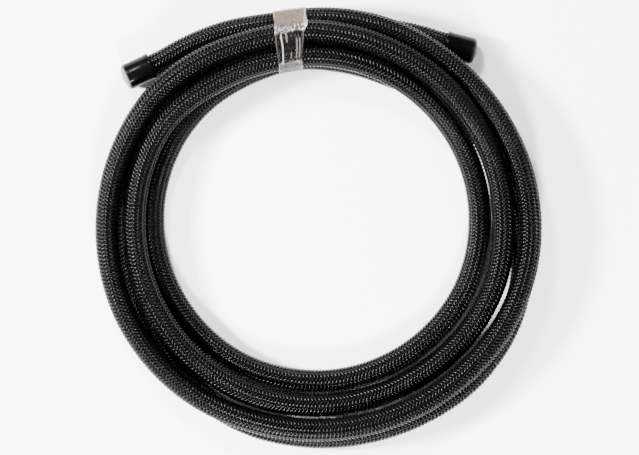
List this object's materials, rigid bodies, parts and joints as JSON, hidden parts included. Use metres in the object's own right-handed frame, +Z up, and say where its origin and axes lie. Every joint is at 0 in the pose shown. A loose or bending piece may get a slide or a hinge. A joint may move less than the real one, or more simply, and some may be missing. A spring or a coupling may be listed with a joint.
{
  "type": "coiled braided fuel hose",
  "caption": "Length of black nylon-braided rubber hose, wound into a flat round coil, held by a band of clear tape, with a vinyl dust cap on each end.",
  "frame": {"origin": "middle of the coil's bounding box, on the floor it lies on", "axes": "+Z up along the coil's axis, +Y towards the taped side, +X to the right in the picture"},
  "size_m": [0.267, 0.27, 0.03],
  "materials": {
    "nylon_braid": "glossy black nylon braid",
    "vinyl_cap": "glossy soft vinyl",
    "clear_tape": "clear, crinkled"
  },
  "bodies": {
    "root": {"hose_coil": "nylon_braid", "hose_under_run": "nylon_braid", "hose_tail_left": "nylon_braid", "end_cap_left": "vinyl_cap", "end_cap_right": "vinyl_cap", "tape_band": "clear_tape"}
  },
  "joints": []
}
